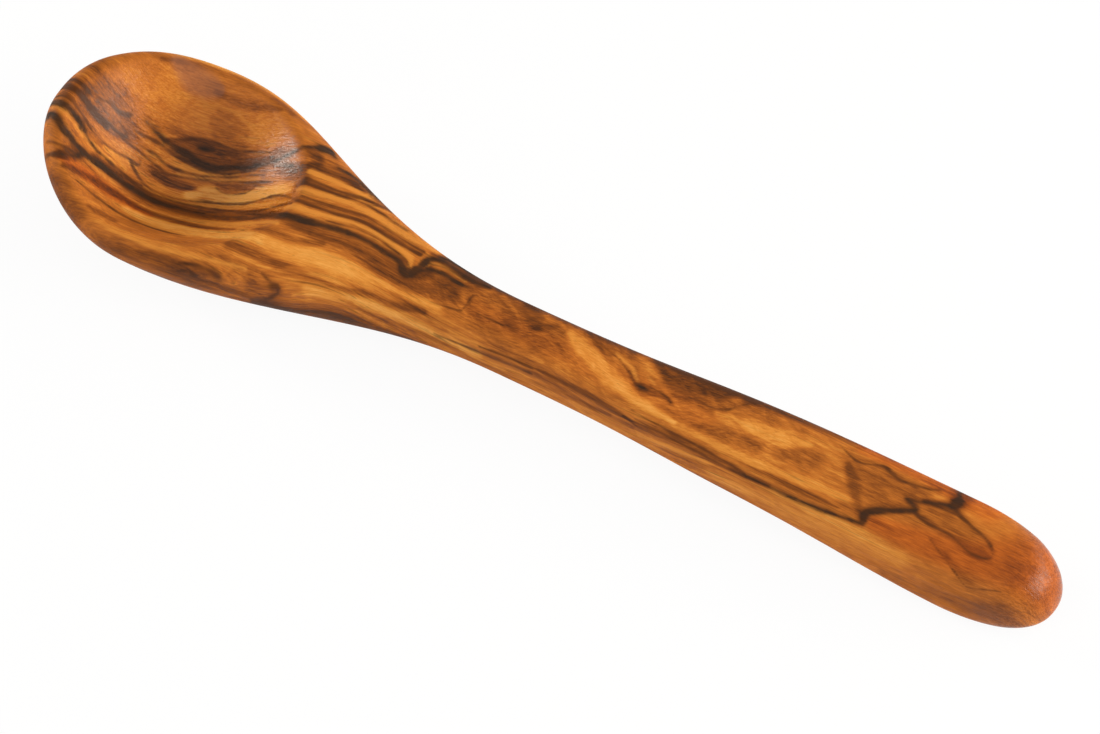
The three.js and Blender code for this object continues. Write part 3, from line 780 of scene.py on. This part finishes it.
        (-58.5, 11.2, .5), (-54, 13, .7), (-50, 13.9, .7), (-46, 13.9, .7), (-42, 13.2, .7), (-38.5, 12, .6),
    ]),
    # Painted shade: the wall just inside the far rim made darker.
    "painted shade under the far rim": (-.38, [
        (-57, 10, .4), (-53.4, 12, .5), (-49, 12.8, .6), (-46, 12.7, .6), (-43, 12.3, .6), (-40.5, 11.6, .5),
    ]),
}

# Calm wood without lines above 0, flamed wood below.
QUIET_PLACES = {
    "far wall of the hollow": (1, [(-60, 7, 3), (-53, 9.5, 4.2), (-46, 10.5, 3.8), (-40, 9.8, 2.6)]),
    "gold of the shoulder": (.9, [(-33, -5.8, 1.4), (-28, -4.9, 2), (-22, -3.8, 1.6)]),
    "near wall of the hollow": (.5, [(-55, -10.5, 1.6), (-48, -11, 1.8), (-41, -9, 1.6)]),
    "top of the handle": (-1, [(-16, 0, 3), (-11, 0, 4.6), (0, 0, 5), (18, 0, 5.4), (26, 0, 5.4)]),
    "handle, toward the butt": (-.5, [(30, 0, 5.4), (40, .6, 5), (45, 1.6, 4)]),
    "butt": (1, [(48, -4.4, 2.6), (54, -2.6, 4.6), (62, 0, 7)]),
    "far side of the butt": (1, [(52, 4.6, 2.6), (60, 3, 4)]),
    "side of the butt": (.9, [(30, -8.6, 2.4), (44, -9, 3), (60, -9, 4)]),
    "near rim of the tip": (1, [(-62.4, -7.6, 1.6), (-60, -10.6, 2.4), (-56, -12.8, 2.4), (-50, -14, 2)]),
}

# Redder wood above 0; below 0, a painted sheen: a cooler, greyer colour standing in for a reflection.
RUSSET_PLACES = {
    "by the branch": (.9, [
        (-59.4, -8.4, .6), (-57.6, -8, 1.2), (-55, -7.2, 1.4), (-52, -6.6, 1.1), (-49, -6.3, .7),
    ]),
    # Painted sheen on the far wall of the hollow.
    "patch under painted sheen": (-1, [(-55.4, 11, 1.2), (-53.6, 10.6, 1.8), (-51.6, 10.8, 1.6), (-50, 11, .8)]),
    "butt": (.8, [(44, -4, 1.6), (50, -3.6, 2.8), (56, -2.6, 3.6), (62, 0, 6)]),
    "far side of the butt": (.8, [(38, 4.4, 1.2), (46, 4.4, 1.2), (54, 4.2, 2.6)]),
    "handle": (.35, [(-9, -.6, 2), (0, -.8, 2.4), (10, -1, 2.6), (20, -1, 3)]),
}

# The line that the grain follows: places along and across.
GRAIN_FLOW = [
    (-66, -4.4), (-58, -5.2), (-52, -4), (-46, -3.1), (-40, -2.2), (-34, -1.6), (-29, -.4), (-25, .5),
    (-20, .5), (-14, .2), (-6, 0), (2, .4), (10, -.8), (18, -.4), (26, .2), (40, 0), (66, 0),
]
FLAME_SLANT = math.radians(-26)
RIPPLE_SLANT = math.radians(24)

# The plank's layers lean, so a streak shifts across by a share of its depth: below the belt in the bowl,
# starting gently on the far side, and below the top in the handle.
PLANK_TILT = 0.8
BELT_EASE = 1.5
FAR_SIDE = (-6, 4)
BOWL_TO_HANDLE = (-33, -22)

# Where the polish starts and where it is full: as a share of the hollow's depth, across, and along.
POLISHED_DEPTH = (0.03, 0.15)
POLISHED_ACROSS = (-3.5, 0)
POLISHED_ALONG = (-63, -58.5)
POLISHED_BUTT = (55, 61)
BUTT_POLISH = 0.9

SOFT_EDGE = (-0.25, 0.75)
OUT_OF_REACH = -1.2
LEAST_WIDTH = 0.02
LEAST_STEP = 1e-9
LEAST_DEPTH = 1e-6


def spline(points, steps=6):
    """A smooth run of points through a few."""
    rows = np.array(points, float)
    padded = np.concatenate([2 * rows[:1] - rows[1:2], rows, 2 * rows[-1:] - rows[-2:-1]])
    t = np.linspace(0, 1, steps, endpoint=False)[:, None]
    pieces = []
    for before, start, end, after in zip(padded, padded[1:], padded[2:], padded[3:]):
        bend = 2 * before - 5 * start + 4 * end - after
        turn = 3 * (start - end) + after - before
        pieces.append(start + 0.5 * t * (end - before + t * (bend + t * turn)))
    return np.concatenate([*pieces, rows[-1:]])


def within(along, across, points):
    """How far inside a streak each point lies, in millimetres, and as a share of the streak's half width."""
    run = spline(points)
    depth = np.full(len(along), OUT_OF_REACH)
    part = np.full(len(along), -1.0)
    for start, end in zip(run, run[1:]):
        reach = max(start[2], end[2]) - OUT_OF_REACH
        low, high = np.minimum(start, end) - reach, np.maximum(start, end) + reach
        near = (along > low[0]) & (along < high[0]) & (across > low[1]) & (across < high[1])
        step = end[:2] - start[:2]
        dx, dy = along[near] - start[0], across[near] - start[1]
        t = np.clip((dx * step[0] + dy * step[1]) / max(step @ step, LEAST_STEP), 0, 1)
        gap = np.hypot(dx - t * step[0], dy - t * step[1])
        half_width = np.maximum(start[2] + (end[2] - start[2]) * t, LEAST_WIDTH)
        depth[near] = np.maximum(depth[near], half_width - gap)
        part[near] = np.maximum(part[near], 1 - gap / half_width)
    return depth, part


def deepest(streaks, along, across):
    """How far inside the nearest of some streaks each point lies, in millimetres."""
    return np.max([within(along, across, points)[0] for points in streaks.values()], axis=0)


def softly(places, along, across):
    """The sum of some soft-edged places, each with its own weight."""
    total = 0
    for weight, points in places.values():
        _, part = within(along, across, points)
        total = total + weight * smooth_step(part, *SOFT_EDGE)
    return total


def polished(lines, along, across, belly):
    """How polished each point is: in full in the far half of the hollow, nearly so at the butt, else not."""
    hollow = smooth_step(lines.scoop(along + lines.length / 2, across), *POLISHED_DEPTH)
    hollow = hollow * smooth_step(across, *POLISHED_ACROSS)
    hollow = np.where(belly, 0, hollow * smooth_step(along, *POLISHED_ALONG))
    return np.maximum(hollow, BUTT_POLISH * smooth_step(along, *POLISHED_BUTT))


def across_plank(lines, along, across, height, belly):
    """How far across the plank each point lies."""
    place = along + lines.length / 2
    below_belt = np.where(belly, lines.belt(place) - height, 0)
    below_belt = below_belt**2 / (below_belt + BELT_EASE * smooth_step(across, *FAR_SIDE) + LEAST_DEPTH)
    below_top = lines.top(place) - height
    to_handle = smooth_step(along, *BOWL_TO_HANDLE)
    return across - PLANK_TILT * (below_belt + (below_top - below_belt) * to_handle)


def paint_figure(mesh, lines, spoon, belly):
    """Writes on the mesh where each point lies in the plank and to the streaks, and how polished it is."""
    along, across, height = spoon.T
    polish = polished(lines, along, across, belly)
    across = across_plank(lines, along, across, height, belly)
    flow = spline(GRAIN_FLOW)
    attributes = {
        "grain": (along, across - np.interp(along, flow[:, 0], flow[:, 1]), height),
        "veins": [deepest(streaks, along, across) for streaks in (BLACK_VEINS, BROWN_STREAKS, PALE_STREAKS)],
        "tints": [softly(places, along, across) for places in (SOFT_SHADES, QUIET_PLACES, RUSSET_PLACES)],
    }
    for name, columns in attributes.items():
        attribute = mesh.attributes.new(name, "FLOAT_VECTOR", "POINT")
        attribute.data.foreach_set("vector", np.stack(columns, axis=1).ravel())
    mesh.attributes.new("polish", "FLOAT", "POINT").data.foreach_set("value", polish)


class Graph:
    """Adds nodes to a node tree, and sets or links their inputs."""

    NOISE_ROUGHNESS = 0.55
    NOISE_MIDDLE = 0.5
    MIX_INPUTS = (0, 6, 7)
    MIX_OUTPUT = 2

    def __init__(self, tree):
        tree.nodes.clear()
        self.tree = tree

    def add(self, kind, inputs=(), **settings):
        """A new node."""
        node = self.tree.nodes.new(kind)
        for name, value in settings.items():
            setattr(node, name, value)
        for key, value in dict(inputs).items():
            self.set(node.inputs[key], value)
        return node

    def set(self, socket, value):
        """Links an input to another node's output, or gives it a value."""
        if isinstance(value, bpy.types.NodeSocket):
            self.tree.links.new(value, socket)
        elif hasattr(value, "__len__") and len(value) == 3 and len(socket.default_value) == 4:
            socket.default_value = (*value, 1)
        else:
            socket.default_value = value

    def math(self, operation, *values):
        """The result of one arithmetic step."""
        return self.add("ShaderNodeMath", enumerate(values), operation=operation).outputs[0]

    def weigh(self, terms, start=0.0):
        """The sum of values, each times its weight, and a start value."""
        total = start
        for value, weight in terms:
            total = self.math("MULTIPLY_ADD", value, weight, total)
        return total

    def step(self, value, low, high, top=1.0):
        """0 where a value is below low, top where it is above high, and an even S between."""
        inputs = {"Value": value, "From Min": low, "From Max": high, "To Max": top}
        return self.add("ShaderNodeMapRange", inputs, interpolation_type="SMOOTHSTEP").outputs["Result"]

    def blend(self, factor, first, second, how="MIX"):
        """A colour between two."""
        node = self.add("ShaderNodeMix", data_type="RGBA", blend_type=how)
        for index, value in zip(self.MIX_INPUTS, (factor, first, second)):
            self.set(node.inputs[index], value)
        return node.outputs[self.MIX_OUTPUT]

    def ramp(self, value, stops):
        """A colour from a row of places and colours."""
        node = self.add("ShaderNodeValToRGB", {"Fac": value})
        elements = node.color_ramp.elements
        elements[0].position, elements[1].position = stops[0][0], stops[-1][0]
        for position, _ in stops[1:-1]:
            elements.new(position)
        for element, (_, paint) in zip(elements, stops):
            element.color = (*paint, 1)
        return node.outputs["Color"]

    def noise(self, place, size, detail=3.0, distortion=0.0, slant=0.0):
        """Noise about 0. Its spots have a size along the grain, across it and upwards, and may slant."""
        mapping = {"Vector": place, "Rotation": (0, 0, slant), "Scale": size}
        stretched = self.add("ShaderNodeMapping", mapping, vector_type="TEXTURE").outputs["Vector"]
        inputs = {
            "Vector": stretched,
            "Scale": 1.0,
            "Detail": detail,
            "Roughness": self.NOISE_ROUGHNESS,
            "Distortion": distortion,
        }
        level = self.add("ShaderNodeTexNoise", inputs).outputs["Fac"]
        return self.math("SUBTRACT", level, self.NOISE_MIDDLE)

    def attribute(self, name):
        """The three parts of a vector that is stored on the mesh, and the vector."""
        vector = self.add("ShaderNodeAttribute", attribute_name=name).outputs["Vector"]
        return *self.add("ShaderNodeSeparateXYZ", {"Vector": vector}).outputs, vector


def olive_wood(wood):
    """Oiled olive wood: a honey ground with fibres, pale flashes, brown streaks and black veins."""
    material = bpy.data.materials.new("olive_wood")
    material.use_nodes = True
    graph = Graph(material.node_tree)
    *_, grain = graph.attribute("grain")
    polish = graph.add("ShaderNodeAttribute", attribute_name="polish").outputs["Fac"]
    black, brown, pale, _ = graph.attribute("veins")
    shade, quiet, russet, _ = graph.attribute("tints")
    settled = graph.step(graph.math("ABSOLUTE", quiet), low=0.0, high=1.0, top=0.85)
    lively = graph.math("SUBTRACT", 1.0, settled)
    flamed = graph.step(quiet, low=0.0, high=-1.0)

    clouds = graph.noise(grain, (16, 4, 8), detail=2.0)
    bands = graph.noise(grain, (28, 1.1, 3.3), detail=4.0, distortion=0.3)
    lines = graph.noise(grain, (16, 0.33, 1.2), distortion=0.4)
    wander = graph.noise(grain, (3, 1.2, 1.5), detail=2.0)
    mottle = graph.noise(grain, (2.6, 1, 1), detail=4.0, distortion=0.7)
    flames = graph.noise(grain, (3.4, 1.1, 1.6), detail=5.0, distortion=0.9, slant=FLAME_SLANT)
    ripple = graph.noise(grain, (1.1, 0.24, 0.3), distortion=0.3, slant=RIPPLE_SLANT)
    fibres = graph.noise(grain, (1.7, 0.14, 0.2))
    pores = graph.noise(grain, (0.8, 0.08, 0.1), detail=2.0)

    streaky = graph.math("MULTIPLY", graph.weigh([(bands, 0.9), (lines, 0.8)]), lively)
    flaming = graph.math("MULTIPLY", graph.weigh([(flames, 0.55), (ripple, 0.45)]), flamed)
    # The shade column holds the wood's lighter and darker places, and the painted light and shade among
    # them.
    tones = [(shade, 0.5), (clouds, 0.4), (streaky, 1.0), (flaming, 1.0), (mottle, 0.4), (fibres, 0.5)]
    ground = graph.ramp(graph.weigh(tones, start=0.53), [
        (0.0, wood.brown), (0.28, wood.umber), (0.55, wood.honey), (0.78, wood.gold), (1.0, wood.pale),
    ])
    ground = graph.blend(graph.step(russet, low=0.0, high=1.0), ground, wood.russet, "MULTIPLY")
    # Painted sheen: below 0, russet turns the ground towards a cooler, greyer colour.
    ground = graph.blend(graph.step(russet, low=0.0, high=-1.0, top=0.35), ground, wood.plum_sheen)
    hairlines = graph.math("MULTIPLY", graph.step(lines, low=0.05, high=0.2, top=0.6), lively)
    ground = graph.blend(hairlines, ground, wood.brown)

    ragged = graph.weigh([(fibres, 0.3), (lines, 0.2), (wander, 0.45)])
    pale_edge = graph.math("ADD", pale, ragged)
    ground = graph.blend(graph.step(pale_edge, low=-0.25, high=0.25, top=0.8), ground, wood.gold)
    halo_edge = graph.weigh([(ragged, 2.0)], start=black)
    ground = graph.blend(graph.step(halo_edge, low=-0.5, high=0.15, top=0.55), ground, wood.brown)
    brown_edge = graph.math("ADD", brown, ragged)
    brown_share = graph.weigh([(mottle, 0.5), (wander, 0.8)], start=0.8)
    brown_mask = graph.math("MULTIPLY", graph.step(brown_edge, low=-0.16, high=0.18), brown_share)
    ground = graph.blend(brown_mask, ground, wood.brown)
    black_edge = graph.weigh([(ragged, 1.0), (mottle, 0.8)], start=black)
    black_share = graph.weigh([(mottle, 0.6), (wander, 0.6)], start=0.9)
    black_mask = graph.math("MULTIPLY", graph.step(black_edge, low=-0.2, high=0.26, top=0.96), black_share)
    ground = graph.blend(black_mask, ground, wood.black)
    ground = graph.blend(graph.step(pores, low=0.1, high=0.28, top=0.4), ground, wood.brown)

    relief = graph.weigh([(fibres, 0.3), (pores, -0.2), (lines, 0.8), (ripple, 0.4)])
    bump = graph.add("ShaderNodeBump", {"Strength": 0.5, "Distance": wood.grain_depth, "Height": relief})
    scatter = [(polish, -wood.polish), (fibres, 0.5), (lines, 0.6), (ripple, 0.3)]
    surface = graph.add("ShaderNodeBsdfPrincipled", {
        "Base Color": ground,
        "Roughness": graph.weigh(scatter, start=wood.roughness),
        "Normal": bump.outputs["Normal"],
        "Specular IOR Level": wood.specular,
    })
    graph.add("ShaderNodeOutputMaterial", {"Surface": surface.outputs["BSDF"]})
    return material


class EGGSPOON_OT_carve(bpy.types.Operator):
    """Carve the spoon and finish it in olive wood"""

    bl_idname = "egg_spoon.carve"
    bl_label = "Carve Egg Spoon"

    def execute(self, context):
        mesh = carve(context.scene.egg_spoon_form)
        mesh.materials.append(olive_wood(context.scene.egg_spoon_wood))
        spoon = bpy.data.objects.new("spoon_carved", mesh)
        context.scene.collection.objects.link(spoon)
        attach(spoon, "root")
        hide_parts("spoon")
        return {"FINISHED"}


WHITE = (1, 1, 1)
LAMPLIGHT = (1, 0.94, 0.84)

# Place, width and height in metres, power in watts, and colour.
SOFTBOXES = {
    "softbox_left": ((-0.72, -0.02, 0.23), (0.18, 0.14), 2.7, LAMPLIGHT),
    "softbox_right": ((0.65, 0.19, 0.21), (0.5, 0.36), 6.0, LAMPLIGHT),
    "softbox_far": ((0.35, 0.54, 0.26), (0.45, 0.25), 1.1, LAMPLIGHT),
    "softbox_near": ((-0.3, -0.95, 0.27), (1.0, 0.5), 2.6, WHITE),
    "softbox_above": ((-0.05, -0.36, 0.98), (1.4, 1.4), 5.2, WHITE),
}
UNREFLECTED = "softbox_above"
TABLE_WHITENESS = 0.93
HALF_TABLE = 3
SENSOR_WIDTH = 36


def area_light(name, place, size, power, paint):
    """A softbox that faces the spoon."""
    lamp = bpy.data.lights.new(name, "AREA")
    lamp.shape = "RECTANGLE"
    lamp.size, lamp.size_y = size
    lamp.energy = power
    lamp.color = paint
    light = bpy.data.objects.new(name, lamp)
    light.location = place
    light.rotation_euler = (-Vector(place)).to_track_quat("-Z", "Y").to_euler()
    bpy.context.scene.collection.objects.link(light)
    return light


def backdrop_white(graph, surface, kind, whiteness):
    """White, from a node of the given kind, to the camera and in reflections, and else the given surface."""
    path = graph.add("ShaderNodeLightPath").outputs
    seen = graph.math("MAXIMUM", path["Is Camera Ray"], path["Is Glossy Ray"])
    seen = graph.math("MAXIMUM", seen, path["Is Transmission Ray"])
    white = graph.add(kind, {"Color": WHITE, "Strength": 1.0}).outputs[0]
    white_share = graph.math("MULTIPLY", seen, whiteness)
    return graph.add("ShaderNodeMixShader", {0: white_share, 1: surface, 2: white}).outputs[0]


def pale_table(stage):
    """Material of the table: nearly white to the camera, with the spoon's shadow on it."""
    material = bpy.data.materials.new("pale_table")
    material.use_nodes = True
    graph = Graph(material.node_tree)
    paper = graph.add("ShaderNodeBsdfDiffuse", {"Color": stage.table_colour}).outputs[0]
    surface = backdrop_white(graph, paper, "ShaderNodeEmission", TABLE_WHITENESS)
    graph.add("ShaderNodeOutputMaterial", {"Surface": surface})
    return material


class EGGSPOON_OT_stage(bpy.types.Operator):
    """Lay the table, and place the lights and the camera"""

    bl_idname = "egg_spoon.stage"
    bl_label = "Set Egg Spoon Stage"

    def execute(self, context):
        stage = context.scene.egg_spoon_stage
        self.lay_table(context, stage)
        self.light(context, stage)
        self.place_camera(context, stage)
        context.scene.view_settings.view_transform = "Standard"
        return {"FINISHED"}

    def lay_table(self, context, stage):
        """A wide sheet under the spoon."""
        mesh = bpy.data.meshes.new("table")
        sheet = bmesh.new()
        bmesh.ops.create_grid(sheet, x_segments=1, y_segments=1, size=HALF_TABLE)
        sheet.to_mesh(mesh)
        sheet.free()
        mesh.materials.append(pale_table(stage))
        table = bpy.data.objects.new("table", mesh)
        context.scene.collection.objects.link(table)

    def light(self, context, stage):
        """An even glow and the softboxes."""
        world = bpy.data.worlds.new("studio")
        world.use_nodes = True
        graph = Graph(world.node_tree)
        glow = graph.add("ShaderNodeBackground", {"Color": WHITE, "Strength": stage.glow}).outputs[0]
        surface = backdrop_white(graph, glow, "ShaderNodeBackground", whiteness=1.0)
        graph.add("ShaderNodeOutputWorld", {"Surface": surface})
        context.scene.world = world
        lights = {name: area_light(name, *settings) for name, settings in SOFTBOXES.items()}
        lights[UNREFLECTED].visible_glossy = False

    def place_camera(self, context, stage):
        """A camera that looks down at the spoon as in the photograph."""
        lens = bpy.data.cameras.new("camera")
        lens.lens = stage.lens
        lens.sensor_width = SENSOR_WIDTH
        camera = bpy.data.objects.new("camera", lens)
        flat = math.cos(stage.elevation)
        back = Vector((
            math.sin(stage.azimuth) * flat,
            -math.cos(stage.azimuth) * flat,
            math.sin(stage.elevation),
        ))
        camera.location = Vector(stage.aim) + back * stage.distance
        camera.rotation_euler = (-back).to_track_quat("-Z", "Y").to_euler()
        context.scene.collection.objects.link(camera)
        context.scene.camera = camera


class EGGSPOON_PT_panel(bpy.types.Panel):
    """Sizes, colours and steps of the egg spoon"""

    bl_idname = "EGGSPOON_PT_panel"
    bl_label = "Egg Spoon"
    bl_space_type = "VIEW_3D"
    bl_region_type = "UI"
    bl_category = "Egg Spoon"

    def draw(self, context):
        for name in GROUPS:
            settings = getattr(context.scene, name)
            box = self.layout.box()
            for key in settings.__annotations__:
                box.prop(settings, key)
        for operator in (EGGSPOON_OT_carve, EGGSPOON_OT_stage):
            self.layout.operator(operator.bl_idname)


GROUPS = {
    "egg_spoon_form": EggSpoonForm,
    "egg_spoon_wood": EggSpoonWood,
    "egg_spoon_stage": EggSpoonStage,
}
CLASSES = (*GROUPS.values(), EGGSPOON_OT_carve, EGGSPOON_OT_stage, EGGSPOON_PT_panel)


def register():
    for cls in CLASSES:
        bpy.utils.register_class(cls)
    for name, group in GROUPS.items():
        setattr(bpy.types.Scene, name, PointerProperty(type=group))


def unregister():
    for name in GROUPS:
        delattr(bpy.types.Scene, name)
    for cls in reversed(CLASSES):
        bpy.utils.unregister_class(cls)


def main():
    """Builds the spoon and its stage."""
    register()
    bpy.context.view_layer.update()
    bpy.ops.egg_spoon.carve()
    bpy.ops.egg_spoon.stage()


if __name__ == "__main__":
    main()
